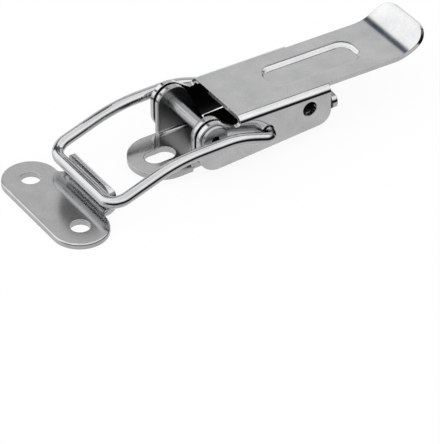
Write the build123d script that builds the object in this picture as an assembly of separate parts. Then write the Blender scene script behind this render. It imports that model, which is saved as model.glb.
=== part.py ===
from build123d import *
import math
import os

# Over centre toggle latch: base bracket, lever, wire bail, hooked keeper and pivot rivet.
# Frame: +X runs from the keeper to the lever's tip, +Z is up, and Z = 0 is the mounting plane.
# The pivot's axis is parallel to Y and crosses the Z axis. All sizes are in millimetres.

# Sheet, wire and clearances
BASE_SHEET = 1.5
LEVER_SHEET = 1.2
KEEPER_SHEET = 1.5
WIRE_R = 1.5
PIN_R = 1.5
RUNNING_FIT = 0.05          # radial, rivet shank in its holes
WIRE_FIT = 0.3              # radial, bail foot in its hole
SIDE_GAP = 0.9              # between an ear and the lever's flange beside it
HEAD_GAP = 0.1              # between a flange and a rivet head
WIRE_LIFT = 2.35            # between the keeper's tongue and the wire above it
HOOK_GAP = 0.75             # between the wire and the upright of the keeper's hook
LIP_GAP = 0.5               # between the wire and the hook's lip, so that the wire lifts out

# Pivot
PIVOT_Z = 9.6
HEAD_R = 3.7
HEAD_T = 0.7
HEAD_BEVEL = 0.4
CLINCH_R = 1.1              # open end of the clinched head
CLINCH_DEPTH = 1.6

# Base bracket
EAR_OUTER_Y = 8.8
EAR_R = 4.3
EAR_FOOT_X = 9.5            # rear foot of each ear
EAR_BEND_R = 0.5            # inside radius of the ear's bend
BASE_W = 16.8
TONGUE_FRONT_X = -16.6
BASE_REAR_X = 31.0
BASE_CORNER_R = 3.0
SLOT_L = 8.2
SLOT_W = 5.2
FRONT_SLOT_X = -8.6
REAR_SLOT_X = 21.4
NECK_W = 8.0
TAB_X = 36.3                # front face of the upturned rear tab
TAB_W = 17.6
TAB_BOTTOM_Z = 2.4
TAB_TOP_Z = 6.4
TAB_CORNER_R = 1.8
TAB_BEND_R = 0.6

# Lever
TOP_FRONT_X = 7.7
TOP_FRONT_Z = 12.6
TOP_SLOPE = 1.5             # degrees, falling towards the tip
FLANGE_FRONT_Z = -0.2       # height of the flange's lower front corner before it is rounded
FLANGE_REAR_X = 34.3
FLANGE_REAR_Z = 1.65
FLANGE_REAR_R = 3.5
LOBE_R = 4.3
LOBE_CORNER_R = 5.8
NOTCH_X = 6.3               # relief between a lobe and the front end of the top
NOTCH_Z = 10.4
NOTCH_R = 0.6
BEND_R = 0.7                # inside radius along both sides of the top
FREE_W = 18.2               # width of the handle behind the flanges
FLARE_X = 54.5
FLARE_R = 11.2
FLARE_ANGLE = 58.0
TIP_CORNER_R = 4.6
LOCK_HOLE_R = 2.0
LOCK_HOLE_X = 28.0
LOCK_HOLE_Z = 7.5
GROOVE_FRONT_X = 21.4
GROOVE_L = 28.4
GROOVE_W = 10.2
GROOVE_CORNER_R = 4.3
GROOVE_DEPTH = 1.0
GROOVE_WALL = 1.6           # run of the groove's sloping wall
DRAW_THINNING = 0.1         # how much thinner the drawn floor is than the sheet

# Wire bail
FOOT_X = 15.7
FOOT_Z = 5.6
FOOT_REACH = 1.4            # length of each foot inside the flange
FOOT_BEND_R = 3.1
ARM_Y = 14.0
ARCH_Z = 9.45               # top of the arched arms
ARCH_REAR_X = 4.7
ARCH_REAR_R = 22.0
ARCH_FRONT_X = -12.3
ARCH_FRONT_R = 40.0
BAIL_FRONT_X = -30.8
BAIL_CORNER_R = 4.2

# Keeper
KEEPER_DROP = 2.0           # how far the loose keeper hangs below the base's plane
KEEPER_W = 14.4
KEEPER_HOLE_R = 2.5
KEEPER_PITCH = 23.0
KEEPER_EDGE_R = 0.45
TONGUE_SHOULDER = 1.7       # straight edge of the plate beside the tongue
TONGUE_L = 1.6              # flat between the plate and the hook's bend
TONGUE_FILLET = 1.4
HOOK_ROOT = 0.2             # overlap of the hook's section with the tongue
HOOK_SIDE_R = 3.2           # rounding of the hook's two ends, seen from the lever
HOOK_FOOT_R = 1.0           # inside radius of the bend up from the tongue
HOOK_LIP_R = 0.2            # inside radius of the bend over towards the wire

# Sizes that follow from those above
TOP_TAN = math.tan(math.radians(TOP_SLOPE))
FLANGE_INNER_Y = EAR_OUTER_Y + SIDE_GAP
FLANGE_OUTER_Y = FLANGE_INNER_Y + LEVER_SHEET
PIVOT_HOLE_R = PIN_R + RUNNING_FIT
WIRE_RISE = KEEPER_SHEET + WIRE_LIFT + WIRE_R
WIRE_Z = WIRE_RISE - KEEPER_DROP
TONGUE_W = KEEPER_PITCH - 2 * TONGUE_SHOULDER
HOOK_X = BAIL_FRONT_X + WIRE_R + HOOK_GAP
HOOK_BEND_X = HOOK_X - HOOK_FOOT_R


def top_z(x):
    """Height of the lever's flat top at a station along X."""
    return TOP_FRONT_Z - (x - TOP_FRONT_X) * TOP_TAN


def side_slab(profile, half_width):
    """Solid from a profile drawn as X and Z, reaching the same way to both sides."""
    return extrude(Plane.XZ * profile, half_width, both=True)


def cross_hole(x, z, radius):
    """Cutter along Y for a hole through both sides of a piece."""
    return Pos(x, 0, z) * Rot(90, 0, 0) * Cylinder(radius, 4 * FLANGE_OUTER_Y)


def nearest(sketch, x, z):
    """Corner of a sketch nearest to a point."""
    return sketch.vertices().sort_by_distance((x, z, 0))[0]


def crown_end(radius, x, z):
    """Point where a line through (x, z) leaves the round end about the pivot, on its far side."""
    rise = z - PIVOT_Z
    turn = math.atan2(rise, x) + math.acos(radius / math.hypot(x, rise))
    return (radius * math.cos(turn), PIVOT_Z + radius * math.sin(turn))


def ear_profile():
    """Side outline of an ear: round about the pivot, upright in front, sloping at the rear."""
    web = Polyline(
        (0, PIVOT_Z), (-EAR_R, PIVOT_Z), (-EAR_R, 0), (EAR_FOOT_X, 0),
        crown_end(EAR_R, EAR_FOOT_X, 0), close=True,
    )
    return make_face(web) + Pos(0, PIVOT_Z) * Circle(EAR_R)


def make_ears():
    """The two ears with their bends and the strip of plate between them."""
    ears = side_slab(ear_profile(), EAR_OUTER_Y)
    between_w = 2 * (EAR_OUTER_Y - BASE_SHEET)
    ears -= Pos(0, 0, BASE_SHEET + PIVOT_Z) * Box(4 * EAR_FOOT_X, between_w, 2 * PIVOT_Z)
    inner = ears.edges().filter_by(Axis.X).group_by(Axis.Z)[-1]
    ears = fillet(inner, EAR_BEND_R)
    outer = ears.edges().filter_by(Axis.X).group_by(Axis.Z)[0]
    return fillet(outer, EAR_BEND_R + BASE_SHEET)


def make_base_plate():
    """Flat of the base: tongue, body and neck, with the plate cut away beside the ears."""
    half = BASE_W / 2
    centre_x = TONGUE_FRONT_X + half
    body = Pos((centre_x + BASE_REAR_X) / 2, 0) * Rectangle(BASE_REAR_X - centre_x, BASE_W)
    body = fillet(body.vertices().group_by(Axis.X)[-1], BASE_CORNER_R)
    neck_start = BASE_REAR_X - BASE_CORNER_R
    neck_end = TAB_X - TAB_BEND_R
    neck = Pos((neck_start + neck_end) / 2, 0) * Rectangle(neck_end - neck_start, NECK_W)
    plan = body + neck + Pos(centre_x, 0) * Circle(half)
    flat_w = 2 * (EAR_OUTER_Y - BASE_SHEET - EAR_BEND_R)
    beside_ears = Pos((EAR_FOOT_X - EAR_R) / 2, 0) * Rectangle(EAR_FOOT_X + EAR_R, 2 * BASE_W)
    beside_ears -= Rectangle(4 * EAR_FOOT_X, flat_w)
    return extrude(plan - beside_ears, BASE_SHEET)


def make_tab():
    """Upturned tab at the rear: a bent stem as wide as the neck, with a wider head."""
    outer_r = TAB_BEND_R + BASE_SHEET
    start_x = TAB_X - TAB_BEND_R
    back_x = TAB_X + BASE_SHEET
    stem_top = (TAB_BOTTOM_Z + TAB_TOP_Z) / 2
    stem = RadiusArc((start_x, 0), (back_x, outer_r), -outer_r)
    stem += Polyline((back_x, outer_r), (back_x, stem_top), (TAB_X, stem_top), (TAB_X, outer_r))
    stem += RadiusArc((TAB_X, outer_r), (start_x, BASE_SHEET), TAB_BEND_R)
    stem += Line((start_x, BASE_SHEET), (start_x, 0))
    head = Pos(0, stem_top) * RectangleRounded(TAB_W, TAB_TOP_Z - TAB_BOTTOM_Z, TAB_CORNER_R)
    return side_slab(make_face(stem), NECK_W / 2) + Pos(TAB_X, 0, 0) * extrude(Plane.YZ * head, BASE_SHEET)


def make_base():
    """Base bracket: a pressed plate with two ears and an upturned tab."""
    base = make_base_plate() + make_ears() + make_tab()
    for x in (FRONT_SLOT_X, REAR_SLOT_X):
        base -= Pos(x, 0, 0) * extrude(SlotOverall(SLOT_L, SLOT_W), 2 * BASE_SHEET, both=True)
    return base - cross_hole(0, PIVOT_Z, PIVOT_HOLE_R)


def make_rivet():
    """Pivot rivet: a plain shank with a low head at each end, the clinched one open."""
    half_grip = FLANGE_OUTER_Y + HEAD_GAP
    profile = Polyline(
        (0, -half_grip - HEAD_T), (HEAD_R, -half_grip - HEAD_T), (HEAD_R, -half_grip),
        (PIN_R, -half_grip), (PIN_R, half_grip), (HEAD_R, half_grip),
        (HEAD_R, half_grip + HEAD_T), (CLINCH_R, half_grip + HEAD_T),
        (CLINCH_R, half_grip + HEAD_T - CLINCH_DEPTH), (0, half_grip + HEAD_T - CLINCH_DEPTH),
        close=True,
    )
    half_section = make_face(profile)
    rims = [nearest(half_section, HEAD_R, side * (half_grip + HEAD_T)) for side in (-1, 1)]
    half_section = chamfer(rims, HEAD_BEVEL)
    turned = revolve(half_section, Axis.Y)
    return Pos(0, 0, PIVOT_Z) * mirror(turned, about=Plane.XZ)


def flange_profile():
    """Side outline of the lever's flanges, with the lobes about the pivot."""
    web = make_face(Polyline(
        (0, PIVOT_Z), (-LOBE_R, PIVOT_Z), (-LOBE_R, FLANGE_FRONT_Z), (FLANGE_REAR_X, FLANGE_REAR_Z),
        (FLANGE_REAR_X, top_z(FLANGE_REAR_X)), (TOP_FRONT_X, TOP_FRONT_Z), (TOP_FRONT_X, NOTCH_Z),
        (NOTCH_X, NOTCH_Z), crown_end(LOBE_R, NOTCH_X, NOTCH_Z), close=True,
    ))
    web = fillet(nearest(web, -LOBE_R, FLANGE_FRONT_Z), LOBE_CORNER_R)
    web = fillet(nearest(web, FLANGE_REAR_X, FLANGE_REAR_Z), FLANGE_REAR_R)
    web = fillet([nearest(web, NOTCH_X, NOTCH_Z), nearest(web, TOP_FRONT_X, NOTCH_Z)], NOTCH_R)
    return web + Pos(0, PIVOT_Z) * Circle(LOBE_R)


def make_channel():
    """Front of the lever: the sloping top and its two flanges, with rounded bends."""
    block = side_slab(flange_profile(), FLANGE_OUTER_Y)
    long_edges = block.edges().filter_by(lambda e: e.length > 2.1 * FLANGE_OUTER_Y)
    block = fillet(long_edges.group_by(Axis.Z)[-1], BEND_R + LEVER_SHEET)
    reach = 2 * FLANGE_REAR_X
    under_front = TOP_FRONT_Z - LEVER_SHEET
    hollow = side_slab(make_face(Polyline(
        (TOP_FRONT_X, under_front), (reach, top_z(reach) - LEVER_SHEET), (reach, -reach),
        (TOP_FRONT_X, -reach), close=True,
    )), FLANGE_INNER_Y)
    hollow_top = hollow.edges().filter_by(lambda e: e.length > reach / 2).group_by(Axis.Z)[-1]
    hollow = fillet(hollow_top, BEND_R)
    hollow += Pos(TOP_FRONT_X - reach / 2, 0, 0) * Box(reach, 2 * FLANGE_INNER_Y, reach)
    return block - hollow


def make_handle():
    """Rear of the lever: a flat strip that flares up to a rounded finger tip."""
    start_x = FLANGE_REAR_X - FLANGE_REAR_R
    outer_r = FLARE_R + LEVER_SHEET
    lean = math.radians(TOP_SLOPE)
    centre_x = FLARE_X + FLARE_R * math.sin(lean)
    centre_z = top_z(FLARE_X) + FLARE_R * math.cos(lean)

    def bend_point(radius, turn):
        angle = math.radians(turn - 90 - TOP_SLOPE)
        return (centre_x + radius * math.cos(angle), centre_z + radius * math.sin(angle))

    upper = [bend_point(FLARE_R, turn) for turn in (0, FLARE_ANGLE / 2, FLARE_ANGLE)]
    lower = [bend_point(outer_r, turn) for turn in (0, FLARE_ANGLE / 2, FLARE_ANGLE)]
    strip = Polyline(upper[0], (start_x, top_z(start_x)), (start_x, top_z(start_x) - LEVER_SHEET), lower[0])
    strip += ThreePointArc(*lower)
    strip += Line(lower[2], upper[2])
    strip += ThreePointArc(*upper)
    handle = side_slab(make_face(strip), FREE_W / 2)
    tip = handle.edges().filter_by(lambda e: abs(e.length - LEVER_SHEET) < 0.01).sort_by(Axis.Z)[-2:]
    return fillet(tip, TIP_CORNER_R)


def groove_tool():
    """Tapered oblong that sinks the groove, standing on the groove's floor."""
    floor_l = GROOVE_L - 2 * GROOVE_WALL
    floor_w = GROOVE_W - 2 * GROOVE_WALL
    floor = RectangleRounded(floor_l, floor_w, GROOVE_CORNER_R - GROOVE_WALL)
    mouth = RectangleRounded(GROOVE_L, GROOVE_W, GROOVE_CORNER_R)
    return loft([floor, Pos(0, 0, GROOVE_DEPTH) * mouth])


def make_lever():
    """Lever: one pressing with a grooved top, two flanges and a flared tip."""
    mid_x = GROOVE_FRONT_X + GROOVE_L / 2
    floor = Pos(mid_x, 0, top_z(mid_x)) * Rot(0, TOP_SLOPE, 0) * Pos(0, 0, -GROOVE_DEPTH)
    lever = make_channel() + make_handle()
    lever += floor * Pos(0, 0, DRAW_THINNING - LEVER_SHEET) * groove_tool()
    lever -= floor * groove_tool()
    lever -= cross_hole(0, PIVOT_Z, PIVOT_HOLE_R)
    lever -= cross_hole(FOOT_X, FOOT_Z, WIRE_R + WIRE_FIT)
    return lever - cross_hole(LOCK_HOLE_X, LOCK_HOLE_Z, LOCK_HOLE_R)


def bent_wire(corners, radii):
    """Round wire through straight runs, with a bend of its own radius at each inner corner."""
    wire = Part()
    start = corners[0]
    for before, corner, after, radius in zip(corners, corners[1:], corners[2:], radii):
        into = (corner - before).normalized()
        out = (after - corner).normalized()
        turn = into.get_angle(out)
        run = radius * math.tan(math.radians(turn) / 2)
        bend_start = corner - into * run
        hub = into.cross(out).normalized()
        wire += extrude(Plane(start, z_dir=into) * Circle(WIRE_R), (bend_start - start).length)
        section = Plane(bend_start, z_dir=into) * Circle(WIRE_R)
        wire += revolve(section, Axis(bend_start + hub.cross(into) * radius, hub), turn)
        start = corner + out * run
    return wire + extrude(Plane(start, z_dir=out) * Circle(WIRE_R), (corners[-1] - start).length)


def make_bail():
    """Wire bail: one wire with a crossbar, two arched arms and feet turned in at the rear."""
    corners = [
        Vector(FOOT_X, FLANGE_INNER_Y - FOOT_REACH, FOOT_Z),
        Vector(FOOT_X, ARM_Y, FOOT_Z),
        Vector(ARCH_REAR_X, ARM_Y, ARCH_Z),
        Vector(ARCH_FRONT_X, ARM_Y, ARCH_Z),
        Vector(BAIL_FRONT_X, ARM_Y, WIRE_Z),
    ]
    radii = [FOOT_BEND_R, ARCH_REAR_R, ARCH_FRONT_R, BAIL_CORNER_R]
    corners += [Vector(p.X, -p.Y, p.Z) for p in reversed(corners)]
    return bent_wire(corners, radii + radii[::-1])


def make_keeper_plate():
    """Flat of the keeper: a round-ended plate with two holes and a tongue."""
    rear_x = HOOK_BEND_X - TONGUE_L
    centre_x = rear_x - KEEPER_W / 2
    plan = Pos(centre_x, 0) * SlotOverall(KEEPER_PITCH + KEEPER_W, KEEPER_W, 90)
    plan += Pos((centre_x + HOOK_BEND_X) / 2, 0) * Rectangle(HOOK_BEND_X - centre_x, TONGUE_W)
    roots = [nearest(plan, rear_x, side * TONGUE_W / 2) for side in (-1, 1)]
    plan = fillet(roots, TONGUE_FILLET)
    plate = extrude(plan, KEEPER_SHEET)
    rim = plate.edges().group_by(Axis.Z)[-1].sort_by(Axis.X)[:-1]
    plate = fillet(rim, KEEPER_EDGE_R)
    for side in (-1, 1):
        plate -= Pos(centre_x, side * KEEPER_PITCH / 2) * Cylinder(KEEPER_HOLE_R, 4 * KEEPER_SHEET)
    return plate


def make_hook():
    """Hook at the end of the tongue: bent up behind the wire, then over towards it."""
    root_x = HOOK_BEND_X - HOOK_ROOT
    outer_x = HOOK_X + KEEPER_SHEET
    lip_x = BAIL_FRONT_X + WIRE_R + LIP_GAP
    under_z = WIRE_RISE + HOOK_LIP_R
    crest_z = under_z + KEEPER_SHEET
    section = make_face(Polyline(
        (root_x, 0), (outer_x, 0), (outer_x, crest_z), (lip_x, crest_z), (lip_x, under_z),
        (HOOK_X, under_z), (HOOK_X, KEEPER_SHEET), (root_x, KEEPER_SHEET), close=True,
    ))
    section = fillet(nearest(section, outer_x, 0), HOOK_FOOT_R + KEEPER_SHEET)
    section = fillet(nearest(section, HOOK_X, KEEPER_SHEET), HOOK_FOOT_R)
    section = fillet(nearest(section, HOOK_X, under_z), HOOK_LIP_R)
    section = fillet(nearest(section, outer_x, crest_z), HOOK_LIP_R + KEEPER_SHEET)
    front_view = Pos(0, crest_z / 2) * Rectangle(TONGUE_W, crest_z)
    front_view = fillet(front_view.vertices().group_by(Axis.Y)[-1], HOOK_SIDE_R)
    outline = Pos(root_x, 0, 0) * extrude(Plane.YZ * front_view, outer_x - root_x)
    return side_slab(section, TONGUE_W / 2) & outline


def make_keeper():
    """Keeper: one pressing with two screw holes and a hook for the wire."""
    return Pos(0, 0, -KEEPER_DROP) * (make_keeper_plate() + make_hook())


def main():
    """Build every piece and write one STEP file for each."""
    os.makedirs("parts", exist_ok=True)
    pieces = {
        "base_bracket": make_base(),
        "pivot_rivet": make_rivet(),
        "lever_handle": make_lever(),
        "wire_bail": make_bail(),
        "keeper_plate": make_keeper(),
    }
    for name, piece in pieces.items():
        export_step(piece, f"parts/{name}.step")
        box = piece.bounding_box()
        print(name, round(piece.volume, 1), len(piece.solids()), box.min, box.max)


main()
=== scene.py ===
"""Over centre toggle latch: the finish of its five stainless steel pieces, and its studio."""
from __future__ import annotations

import logging
import math
from dataclasses import dataclass
from enum import Enum

import bpy
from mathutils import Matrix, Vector


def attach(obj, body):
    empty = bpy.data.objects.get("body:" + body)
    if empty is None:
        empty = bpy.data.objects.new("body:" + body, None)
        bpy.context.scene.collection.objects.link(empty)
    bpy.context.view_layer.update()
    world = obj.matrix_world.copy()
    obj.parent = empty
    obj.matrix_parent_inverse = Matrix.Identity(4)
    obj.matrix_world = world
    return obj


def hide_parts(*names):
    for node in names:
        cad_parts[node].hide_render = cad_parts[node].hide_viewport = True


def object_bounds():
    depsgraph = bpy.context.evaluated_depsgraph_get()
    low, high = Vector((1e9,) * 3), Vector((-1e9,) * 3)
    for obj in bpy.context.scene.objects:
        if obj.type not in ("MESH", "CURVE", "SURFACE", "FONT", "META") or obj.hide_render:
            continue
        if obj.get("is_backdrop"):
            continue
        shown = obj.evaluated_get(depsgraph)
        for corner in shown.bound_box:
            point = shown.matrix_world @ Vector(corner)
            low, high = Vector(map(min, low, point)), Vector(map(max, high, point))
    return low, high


log = logging.getLogger("toggle_latch")

MM = 0.001

Pairs = tuple[tuple[float, float], ...]

# How much of a surface's mottle comes from its grain and how much from its clouds.
GRAIN_SHARE = 0.55
CLOUD_SHARE = 0.45
# The spans of tone over which the colour and the polish run from one end to the other.
COLOUR_SPAN = (0.36, 0.64)
POLISH_SPAN = (0.30, 0.70)
# The openness at which painted shade starts, and at which it is full: in a piece's own hollows,
# and under another piece that covers it.
HOLLOW_SPAN = (0.72, 0.50)
COVER_SPAN = (0.60, 0.40)


class Lay(Enum):
    """Direction of the fine lines that finishing leaves, as the grain's scale along each axis."""

    EVEN = (1.0, 1.0, 1.0)
    LENGTHWISE = (0.12, 1.0, 1.0)


def linear(code: str) -> tuple[float, float, float, float]:
    """Turn an sRGB hex colour into Blender's linear values.

    Args:
        code: The colour as six hex digits, with or without a leading hash.

    Returns:
        The linear red, green and blue values, and a full alpha.
    """
    digits = code.lstrip("#")
    parts = [int(digits[i : i + 2], 16) / 255 for i in (0, 2, 4)]
    red, green, blue = (p / 12.92 if p <= 0.04045 else ((p + 0.055) / 1.055) ** 2.4 for p in parts)
    return (red, green, blue, 1.0)


def empty_tree(owner: bpy.types.Material | bpy.types.World) -> bpy.types.NodeTree:
    """Give a material or a world an empty node tree.

    Args:
        owner: The material or the world.

    Returns:
        Its tree, without nodes.
    """
    owner.use_nodes = True
    owner.node_tree.nodes.clear()
    return owner.node_tree


def add_node(
    tree: bpy.types.NodeTree,
    kind: str,
    settings: dict[str, object] | None = None,
    values: dict[str | int, object] | None = None,
    links: dict[str | int, bpy.types.NodeSocket] | None = None,
) -> bpy.types.Node:
    """Add a node to a tree.

    Args:
        tree: The node tree to add to.
        kind: The node's type, such as "ShaderNodeTexNoise".
        settings: The node's own properties.
        values: Plain values for its inputs, by socket name or number.
        links: Output sockets that feed its inputs, by socket name or number.

    Returns:
        The new node.
    """
    node = tree.nodes.new(kind)
    for name, value in (settings or {}).items():
        setattr(node, name, value)
    for name, value in (values or {}).items():
        node.inputs[name].default_value = value
    for name, output in (links or {}).items():
        tree.links.new(output, node.inputs[name])
    return node


def set_ramp(node: bpy.types.Node, stops: list[tuple[float, tuple[float, ...]]]) -> bpy.types.Node:
    """Give a colour ramp its stops.

    Args:
        node: The colour ramp node.
        stops: Pairs of position and linear colour, in rising order.

    Returns:
        The same node.
    """
    elements = node.color_ramp.elements
    while len(elements) > 1:
        elements.remove(elements[-1])
    elements[0].position = stops[0][0]
    elements[0].color = stops[0][1]
    for position, colour in stops[1:]:
        elements.new(position).color = colour
    return node


@dataclass(frozen=True)
class Recess:
    """A box, in mm, inside which a piece takes a dark, rougher tone as painted shade.

    Where the box has a cover, the painted shade only shows while something within that reach stands
    over it, as the closed lever does over the base.
    """

    low: tuple[float, float, float]
    high: tuple[float, float, float]
    share: float = 1.0
    fade_mm: float = 0.3
    cover_mm: float = 0.0

    def mask(self, tree: bpy.types.NodeTree, place: bpy.types.NodeSocket) -> bpy.types.NodeSocket:
        """Measure how far a point lies inside the box.

        Args:
            tree: The material's node tree.
            place: The point, in the piece's own coordinates.

        Returns:
            The painted shade's share, full inside the box and none outside it.
        """
        middle = tuple((a + b) / 2 * MM for a, b in zip(self.low, self.high))
        half = tuple((b - a) / 2 * MM for a, b in zip(self.low, self.high))
        away = add_node(
            tree, "ShaderNodeVectorMath", {"operation": "SUBTRACT"}, {1: middle}, {0: place},
        )
        size = add_node(
            tree, "ShaderNodeVectorMath", {"operation": "ABSOLUTE"}, links={0: away.outputs[0]},
        )
        over = add_node(
            tree, "ShaderNodeVectorMath", {"operation": "SUBTRACT"}, {1: half}, {0: size.outputs[0]},
        )
        parts = add_node(tree, "ShaderNodeSeparateXYZ", links={"Vector": over.outputs[0]})
        wide = add_node(
            tree, "ShaderNodeMath", {"operation": "MAXIMUM"},
            links={0: parts.outputs["X"], 1: parts.outputs["Y"]},
        )
        most = add_node(
            tree, "ShaderNodeMath", {"operation": "MAXIMUM"},
            links={0: wide.outputs[0], 1: parts.outputs["Z"]},
        )
        fade = add_node(
            tree, "ShaderNodeMapRange", {"interpolation_type": "SMOOTHSTEP"},
            {"From Min": 0.0, "From Max": -self.fade_mm * MM, "To Min": 0.0, "To Max": self.share},
            {"Value": most.outputs[0]},
        )
        if not self.cover_mm:
            return fade.outputs["Result"]
        # Under a cover, the painted shade shows only where another piece closes over the box.
        openness = add_node(
            tree, "ShaderNodeAmbientOcclusion", {"samples": 16}, {"Distance": self.cover_mm * MM},
        )
        cover = add_node(
            tree, "ShaderNodeMapRange",
            values={"From Min": COVER_SPAN[0], "From Max": COVER_SPAN[1], "To Min": 0.0, "To Max": 1.0},
            links={"Value": openness.outputs["AO"]},
        )
        shown = add_node(
            tree, "ShaderNodeMath", {"operation": "MULTIPLY"},
            links={0: fade.outputs["Result"], 1: cover.outputs["Result"]},
        )
        return shown.outputs[0]


@dataclass(frozen=True)
class SteelFinish:
    """A finish on stainless steel.

    Its grain is the fine relief that tumbling or rolling leaves, drawn a little coarser than the
    real one so that it shows. Its clouds are the slow change of tone across a pressing. Its painted
    shade is a dark, rougher tone laid into its hollows and recesses, which stands in for the shade
    there.
    """

    name: str
    light: str
    dark: str
    roughness: float
    roughness_spread: float
    grain_mm: float
    grain_height_mm: float
    cloud_mm: float = 6.0
    lay: Lay = Lay.EVEN
    edge_mm: float = 0.35
    # The painted shade: a dark colour and a rougher polish laid into hollows, the reach at which a hollow
    # counts, and the shade's full share.
    painted_shade: str = "#1C2022"
    painted_shade_roughness: float = 0.42
    shade_reach_mm: float = 9.0
    painted_shade_share: float = 1.0
    recesses: tuple[Recess, ...] = ()

    def material(self) -> bpy.types.Material:
        """Build the finish as a Blender material."""
        made = bpy.data.materials.new(self.name)
        tree = empty_tree(made)
        place = add_node(tree, "ShaderNodeTexCoord").outputs["Object"]
        along = add_node(tree, "ShaderNodeMapping", values={"Scale": self.lay.value}, links={"Vector": place})
        grain = add_node(
            tree, "ShaderNodeTexNoise",
            values={"Scale": 1 / (self.grain_mm * MM), "Detail": 3.0, "Roughness": 0.6},
            links={"Vector": along.outputs["Vector"]},
        )
        cloud = add_node(
            tree, "ShaderNodeTexNoise",
            values={"Scale": 1 / (self.cloud_mm * MM), "Detail": 2.0, "Roughness": 0.5},
            links={"Vector": place},
        )
        fine = add_node(
            tree, "ShaderNodeMath", {"operation": "MULTIPLY"}, {1: GRAIN_SHARE}, {0: grain.outputs["Fac"]},
        )
        tone = add_node(
            tree, "ShaderNodeMath", {"operation": "MULTIPLY_ADD"}, {1: CLOUD_SHARE},
            {0: cloud.outputs["Fac"], 2: fine.outputs[0]},
        )
        bare = set_ramp(
            add_node(tree, "ShaderNodeValToRGB", links={"Fac": tone.outputs[0]}),
            [(COLOUR_SPAN[0], linear(self.dark)), (COLOUR_SPAN[1], linear(self.light))],
        )
        # Painted shade: where the piece's own hollows close in, its colour darkens toward the shade tone.
        openness = add_node(
            tree, "ShaderNodeAmbientOcclusion", {"samples": 8, "only_local": True},
            {"Distance": self.shade_reach_mm * MM},
        )
        painted_shade = add_node(
            tree, "ShaderNodeMapRange",
            values={
                "From Min": HOLLOW_SPAN[0], "From Max": HOLLOW_SPAN[1],
                "To Min": 0.0, "To Max": self.painted_shade_share,
            },
            links={"Value": openness.outputs["AO"]},
        ).outputs["Result"]
        for recess in self.recesses:
            painted_shade = add_node(
                tree, "ShaderNodeMath", {"operation": "MAXIMUM"},
                links={0: painted_shade, 1: recess.mask(tree, place)},
            ).outputs[0]
        # The colour and the polish give way to the painted shade by its share.
        colour = add_node(
            tree, "ShaderNodeMix", {"data_type": "RGBA"}, {"B": linear(self.painted_shade)},
            {"Factor": painted_shade, "A": bare.outputs["Color"]},
        )
        polish = add_node(
            tree, "ShaderNodeMapRange",
            values={
                "From Min": POLISH_SPAN[0], "From Max": POLISH_SPAN[1],
                "To Min": self.roughness - self.roughness_spread,
                "To Max": self.roughness + self.roughness_spread,
            },
            links={"Value": tone.outputs[0]},
        )
        rough = add_node(
            tree, "ShaderNodeMix", {"data_type": "FLOAT"}, {"B": self.painted_shade_roughness},
            {"Factor": painted_shade, "A": polish.outputs["Result"]},
        )
        edges = add_node(tree, "ShaderNodeBevel", {"samples": 6}, {"Radius": self.edge_mm * MM})
        relief = add_node(
            tree, "ShaderNodeBump",
            values={"Strength": 1.0, "Distance": self.grain_height_mm * MM},
            links={"Height": grain.outputs["Fac"], "Normal": edges.outputs["Normal"]},
        )
        steel = add_node(
            tree, "ShaderNodeBsdfPrincipled", values={"Metallic": 1.0},
            links={
                "Base Color": colour.outputs["Result"],
                "Roughness": rough.outputs["Result"],
                "Normal": relief.outputs["Normal"],
            },
        )
        add_node(tree, "ShaderNodeOutputMaterial", links={"Surface": steel.outputs["BSDF"]})
        return made


# Tumbled sheet: small stones round every edge and leave an even sheen with a very fine mottle.
# Inside its channel, the lever is painted dark as shade.
LEVER_SHEET = SteelFinish(
    name="tumbled_stainless_lever", light="#D8D8D8", dark="#C2C3C4", roughness=0.12, roughness_spread=0.03,
    grain_mm=0.30, grain_height_mm=0.0010, edge_mm=0.18,
    # Painted shade inside the lever's channel.
    recesses=(Recess((5.0, -10.0, -1.0), (35.5, 10.0, 10.4), fade_mm=0.25),),
)
# The base's sheet is the same steel, its tones drawn a little darker as painted shade. Between
# the ears it carries painted shade, and its plate and the front of its tab carry painted shade
# while the closed lever covers them.
BASE_SHEET = SteelFinish(
    # Its tones are darker than the lever's as painted shade.
    name="tumbled_stainless_base", light="#CCCCCB", dark="#B2B3B2", roughness=0.14, roughness_spread=0.03,
    grain_mm=0.30, grain_height_mm=0.0010, painted_shade_share=0.0,
    recesses=(
        # Painted shade on the plate and the tab's front, while the closed lever covers them.
        Recess((6.0, -10.0, 0.3), (36.0, 10.0, 4.0), fade_mm=0.8, cover_mm=25.0),
        Recess((34.0, -10.0, 0.3), (36.6, 10.0, 7.0), fade_mm=0.1, cover_mm=25.0),
        # Painted shade between the ears.
        Recess((-6.0, -8.2, 2.0), (8.5, 8.2, 14.0), share=0.52, fade_mm=0.6),
    ),
)
# The keeper's sheet is the same but a little darker and smoother, and bare all over.
KEEPER_SHEET = SteelFinish(
    name="tumbled_stainless_keeper", light="#CBCBCB", dark="#B8B9BA", roughness=0.14, roughness_spread=0.03,
    grain_mm=0.30, grain_height_mm=0.0002, painted_shade_share=0.0,
)
# Drawn and polished wire: sharp mirror reflections that run along it.
POLISHED_WIRE = SteelFinish(
    name="polished_stainless_wire", light="#CACACB", dark="#BEBFC0", roughness=0.07, roughness_spread=0.02,
    grain_mm=0.5, grain_height_mm=0.0001, cloud_mm=9.0, lay=Lay.LENGTHWISE, painted_shade_share=0.0,
)
# Turned and clinched rivet: satin, with painted shade in its hollows and in the open middle of its clinched
# end.
TURNED_RIVET = SteelFinish(
    name="turned_stainless_rivet", light="#C0C1C2", dark="#A9ABAC", roughness=0.30, roughness_spread=0.04,
    grain_mm=0.3, grain_height_mm=0.0010,
    # Painted shade in the open middle of the clinched end.
    recesses=(Recess((-1.2, -12.0, 8.4), (1.2, -9.2, 10.8), share=0.9, fade_mm=0.4),),
)


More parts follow.
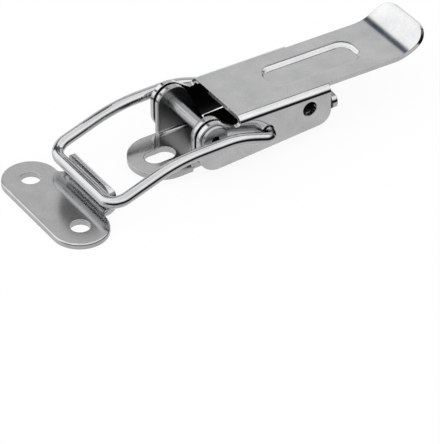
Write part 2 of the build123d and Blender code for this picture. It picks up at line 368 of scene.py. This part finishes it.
@dataclass
class Pressing:
    """One piece of the latch, dressed in the finish of the real one.

    Its node is the piece's name in model.glb.
    """

    node: str
    finish: SteelFinish

    def piece(self) -> bpy.types.Object:
        """Give the object to dress, which is the node itself."""
        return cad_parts[self.node]

    def dress(self) -> None:
        """Give the piece its material."""
        piece = self.piece()
        piece.data.materials.clear()
        piece.data.materials.append(self.finish.material())
        log.info("%s dressed as %s, %d faces", self.node, self.finish.name, len(piece.data.polygons))


@dataclass
class Lever(Pressing):
    """The lever, whose long finger groove is pressed in with a soft mouth and a steep wall.

    The groove's outline is a straight run between two round ends, and the top that it is pressed
    into falls evenly from its front edge. The wall's profile is a row of pairs, in mm: how far
    inside the outline, and how deep.
    """

    groove_middle_mm: float = 35.6
    groove_straight_mm: float = 9.1
    groove_end_mm: float = 5.1
    top_mm: float = 12.6
    top_front_mm: float = 7.7
    top_fall: float = 0.0262
    wall: Pairs = (
        (0.05, 0.006), (0.20, 0.032), (0.38, 0.066), (0.56, 0.102), (0.64, 0.122), (0.72, 0.158),
        (0.79, 0.212), (0.87, 0.304), (1.20, 0.790), (1.32, 0.938), (1.43, 1.0),
    )
    old_wall_reach_mm: float = 0.45
    old_wall_depth_mm: tuple[float, float] = (0.015, 1.1)
    weld_mm: float = 0.002
    flat_deg: float = 0.2
    crease_deg: float = 24.0

    def top_at(self, x_mm: float) -> float:
        """Give the height of the lever's top, in mm, at a place along it."""
        return self.top_mm - (x_mm - self.top_front_mm) * self.top_fall

    def inward(self, place: Vector) -> tuple[float, Vector]:
        """Find how a point stands to the groove's outline.

        Args:
            place: The point, in metres.

        Returns:
            The distance outside the outline in mm, and the level direction that leads inward.
        """
        along = place.x / MM - self.groove_middle_mm
        past = math.copysign(max(abs(along) - self.groove_straight_mm, 0.0), along)
        way = Vector((past, place.y / MM, 0.0))
        return way.length - self.groove_end_mm, -way.normalized()

    def piece(self) -> bpy.types.Object:
        """Copy the lever, press its groove and let the copy stand for it.

        Returns:
            The copy.
        """
        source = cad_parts[self.node]
        bpy.ops.object.select_all(action="DESELECT")
        piece = bpy.data.objects.new("lever_pressed", source.data.copy())
        bpy.context.scene.collection.objects.link(piece)
        piece.select_set(True)
        bpy.context.view_layer.objects.active = piece
        bpy.ops.object.mode_set(mode="EDIT")
        bpy.ops.mesh.customdata_custom_splitnormals_clear()
        bpy.ops.mesh.select_mode(type="VERT")
        bpy.ops.mesh.select_all(action="SELECT")
        bpy.ops.mesh.remove_doubles(threshold=self.weld_mm * MM)
        bpy.ops.mesh.dissolve_limited(angle_limit=math.radians(self.flat_deg))
        bpy.ops.object.mode_set(mode="OBJECT")
        self.press_groove(piece.data)
        bpy.ops.object.shade_smooth_by_angle(angle=math.radians(self.crease_deg))
        weighted = piece.modifiers.new("even_shading", "WEIGHTED_NORMAL")
        weighted.keep_sharp = True
        bpy.ops.object.modifier_apply(modifier=weighted.name)
        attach(piece, "lever")
        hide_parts(self.node)
        return piece

    def press_groove(self, mesh: bpy.types.Mesh) -> None:
        """Press the groove's wall and floor anew, with their soft mouth.

        Args:
            mesh: The merged copy's mesh, whose object is the active one.
        """
        for part in (mesh.vertices, mesh.edges, mesh.polygons):
            for one in part:
                one.select = False
        least, most = self.old_wall_depth_mm
        for face in mesh.polygons:
            depth = self.top_at(face.center.x / MM) - face.center.z / MM
            near = self.inward(face.center)[0] < self.old_wall_reach_mm
            face.select = near and least < depth < most and face.normal.z > 0.5
        bpy.ops.object.mode_set(mode="EDIT")
        bpy.ops.mesh.select_mode(type="FACE")
        bpy.ops.mesh.delete(type="FACE")
        bpy.ops.mesh.select_mode(type="EDGE")
        bpy.ops.mesh.select_non_manifold(extend=False)
        reached = 0.0
        for inside, depth in self.wall:
            bpy.ops.mesh.extrude_edges_move()
            bpy.ops.object.mode_set(mode="OBJECT")
            for vertex in (v for v in mesh.vertices if v.select):
                vertex.co += self.inward(vertex.co)[1] * (inside - reached) * MM
                vertex.co.z = (self.top_at(vertex.co.x / MM) - depth) * MM
            bpy.ops.object.mode_set(mode="EDIT")
            reached = inside
        bpy.ops.mesh.edge_face_add()
        bpy.ops.mesh.select_all(action="SELECT")
        bpy.ops.mesh.normals_make_consistent(inside=False)
        bpy.ops.object.mode_set(mode="OBJECT")


@dataclass
class Room:
    """The soft room round the latch, as levels of light by direction.

    A pale grey panel hangs high on the far side, with a narrow dark rim; past the rim the room
    is bright, and low on the camera's side it's dark. Each band is a pair: a part of the
    direction's unit vector, and the level there as a share of the peak. Each span holds the two
    such parts between which one level gives way to another.
    """

    peak: float = 1.5
    far_span: tuple[float, float] = (-0.10, 0.50)
    panel_aim: tuple[float, float, float] = (0.578, 0.810, 0.0995)
    panel_span: tuple[float, float] = (0.66, 0.70)
    panel_foot: tuple[float, float] = (0.0, 0.16)
    panel_level: float = 0.49
    panel_rim: Pairs = (
        (-1.0, 0.0), (0.560, 0.0), (0.615, 1.0), (0.695, 1.0), (0.715, 0.0), (1.0, 0.0),
    )
    rim_level: float = 0.06
    rim_tint: tuple[float, float, float] = (0.70, 0.92, 1.20)
    near_by_height: Pairs = (
        (-1.0, 0.46), (-0.52, 0.46), (-0.44, 0.10), (-0.36, 0.006), (0.04, 0.006), (0.16, 0.10),
        (0.30, 0.66), (0.45, 0.90), (0.67, 0.93), (0.88, 0.78), (1.0, 0.72),
    )
    far_by_height: Pairs = (
        (-1.0, 0.46), (-0.45, 0.52), (-0.20, 0.62), (0.06, 0.80), (0.40, 0.98), (0.70, 0.96),
        (1.0, 0.78),
    )

    @staticmethod
    def bands(tree: bpy.types.NodeTree, part: bpy.types.NodeSocket, stops: Pairs) -> bpy.types.Node:
        """Turn one part of the direction into levels of light.

        Args:
            tree: The world's node tree.
            part: The part of the direction, from -1 to 1.
            stops: The bands.

        Returns:
            The colour ramp that holds the levels.
        """
        unit = add_node(
            tree, "ShaderNodeMapRange",
            values={"From Min": -1.0, "From Max": 1.0, "To Min": 0.0, "To Max": 1.0},
            links={"Value": part},
        )
        ramp = add_node(tree, "ShaderNodeValToRGB", links={"Fac": unit.outputs["Result"]})
        return set_ramp(ramp, [((place + 1) / 2, (level,) * 3 + (1.0,)) for place, level in stops])

    def build(self) -> None:
        """Make the room the scene's world."""
        world = bpy.data.worlds.new("soft_room")
        bpy.context.scene.world = world
        tree = empty_tree(world)
        facing = add_node(tree, "ShaderNodeTexCoord").outputs["Generated"]
        parts = add_node(tree, "ShaderNodeSeparateXYZ", links={"Vector": facing})
        near = self.bands(tree, parts.outputs["Z"], self.near_by_height)
        far = self.bands(tree, parts.outputs["Z"], self.far_by_height)
        toward = add_node(
            tree, "ShaderNodeVectorMath", {"operation": "DOT_PRODUCT"}, {1: self.panel_aim}, {0: facing},
        )
        beyond, inside, above = (
            add_node(
                tree, "ShaderNodeMapRange", {"interpolation_type": "SMOOTHSTEP"},
                {"From Min": span[0], "From Max": span[1]}, {"Value": part},
            ).outputs["Result"]
            for part, span in (
                (parts.outputs["Y"], self.far_span),
                (toward.outputs["Value"], self.panel_span),
                (parts.outputs["Z"], self.panel_foot),
            )
        )
        walls = add_node(
            tree, "ShaderNodeMix", {"data_type": "RGBA"},
            links={"Factor": beyond, "A": near.outputs["Color"], "B": far.outputs["Color"]},
        )
        covered = add_node(tree, "ShaderNodeMath", {"operation": "MULTIPLY"}, links={0: inside, 1: above})
        panel = (self.panel_level,) * 3 + (1.0,)
        hung = add_node(
            tree, "ShaderNodeMix", {"data_type": "RGBA"}, {"B": panel},
            {"Factor": covered.outputs[0], "A": walls.outputs["Result"]},
        )
        rim = self.bands(tree, toward.outputs["Value"], self.panel_rim)
        edge = add_node(
            tree, "ShaderNodeMath", {"operation": "MULTIPLY"}, links={0: rim.outputs["Color"], 1: above},
        )
        dark = tuple(self.rim_level * part for part in self.rim_tint) + (1.0,)
        light = add_node(
            tree, "ShaderNodeMix", {"data_type": "RGBA"}, {"B": dark},
            {"Factor": edge.outputs[0], "A": hung.outputs["Result"]},
        )
        backdrop = add_node(
            tree, "ShaderNodeBackground", values={"Strength": self.peak},
            links={"Color": light.outputs["Result"]},
        )
        add_node(tree, "ShaderNodeOutputWorld", links={"Surface": backdrop.outputs[0]})


@dataclass
class Studio:
    """The pale floor, the flag, the soft room round the latch, and the camera.

    The flag's foot is the place on the keeper, in mm, where its mirror image is seen, and its way
    is the direction in which a flat, level face mirrors the camera's sight.
    """

    floor_m: float = 6.0
    floor_gap_mm: float = 0.02
    camera_place: tuple[float, float, float] = (-0.38018, -0.59465, 0.51148)
    azimuth: float = 33.195
    elevation: float = 37.109
    lens_mm: float = 291.84
    sensor_mm: float = 36.0
    sight_m: tuple[float, float] = (0.01, 20.0)
    floor_glow: float = 0.92
    flag_foot: tuple[float, float, float] = (-34.9, -5.0, -0.5)
    flag_way: tuple[float, float, float] = (0.436, 0.667, 0.603)
    flag_reach_mm: float = 40.0
    flag_mm: float = 6.6

    def build_floor(self) -> None:
        """Lay the floor, white to the eye, that still takes the latch's soft shadow."""
        lowest = CAD_BOX[0][2]
        bpy.ops.mesh.primitive_plane_add(size=self.floor_m, location=(0, 0, lowest - self.floor_gap_mm * MM))
        floor = bpy.context.object
        floor.name = "floor"
        made = bpy.data.materials.new("white_paper_floor")
        tree = empty_tree(made)
        path = add_node(tree, "ShaderNodeLightPath")
        share = add_node(
            tree, "ShaderNodeMath", {"operation": "MULTIPLY"}, {1: self.floor_glow},
            {0: path.outputs["Is Camera Ray"]},
        )
        paper = add_node(tree, "ShaderNodeBsdfDiffuse", values={"Color": linear("#F4F4F4")})
        glow = add_node(tree, "ShaderNodeEmission", values={"Color": linear("#FFFFFF"), "Strength": 1.0})
        both = add_node(
            tree, "ShaderNodeMixShader",
            links={0: share.outputs[0], 1: paper.outputs[0], 2: glow.outputs[0]},
        )
        add_node(tree, "ShaderNodeOutputMaterial", links={"Surface": both.outputs[0]})
        floor.data.materials.append(made)
        floor.visible_glossy = False
        floor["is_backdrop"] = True

    def build_flag(self) -> None:
        """Hang a small grey flag over the keeper, which only shiny faces see."""
        way = Vector(self.flag_way).normalized()
        place = Vector(self.flag_foot) * MM + way * self.flag_reach_mm * MM
        bpy.ops.mesh.primitive_circle_add(
            vertices=64, radius=self.flag_mm * MM, fill_type="NGON", location=place,
            rotation=way.to_track_quat("Z", "Y").to_euler(),
        )
        flag = bpy.context.object
        flag.name = "dark_flag"
        made = bpy.data.materials.new("grey_flag_cloth")
        tree = empty_tree(made)
        cloth = add_node(tree, "ShaderNodeBsdfDiffuse", values={"Color": linear("#848484")})
        add_node(tree, "ShaderNodeOutputMaterial", links={"Surface": cloth.outputs[0]})
        flag.data.materials.append(made)
        flag.visible_camera = False
        flag.visible_diffuse = False
        flag.visible_shadow = False
        flag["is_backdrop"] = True

    def build_camera(self) -> None:
        """Set the camera where it frames the closed latch."""
        bpy.ops.object.camera_add(location=self.camera_place)
        camera = bpy.context.object
        camera.rotation_euler = (math.radians(90 - self.elevation), 0.0, math.radians(-self.azimuth))
        camera.data.sensor_fit = "HORIZONTAL"
        camera.data.sensor_width = self.sensor_mm
        camera.data.lens = self.lens_mm
        camera.data.clip_start, camera.data.clip_end = self.sight_m
        bpy.context.scene.camera = camera

    def build(self) -> None:
        """Build the whole studio."""
        self.build_floor()
        self.build_flag()
        Room().build()
        self.build_camera()
        bpy.context.scene.view_settings.view_transform = "Standard"
        log.info("studio ready")


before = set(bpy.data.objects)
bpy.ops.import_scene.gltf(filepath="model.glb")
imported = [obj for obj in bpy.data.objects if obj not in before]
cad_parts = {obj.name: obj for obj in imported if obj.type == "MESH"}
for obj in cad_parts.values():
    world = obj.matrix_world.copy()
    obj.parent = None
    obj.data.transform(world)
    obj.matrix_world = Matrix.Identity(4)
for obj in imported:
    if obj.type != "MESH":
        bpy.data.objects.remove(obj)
CAD_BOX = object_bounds()


def main() -> None:
    """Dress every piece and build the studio."""
    logging.basicConfig(level=logging.INFO, format="%(message)s")
    bpy.ops.object.select_all(action="DESELECT")
    for piece in (
        Pressing("base_bracket", BASE_SHEET),
        Lever("lever_handle", LEVER_SHEET),
        Pressing("keeper_plate", KEEPER_SHEET),
        Pressing("wire_bail", POLISHED_WIRE),
        Pressing("pivot_rivet", TURNED_RIVET),
    ):
        piece.dress()
    Studio().build()


if __name__ == "__main__":
    main()
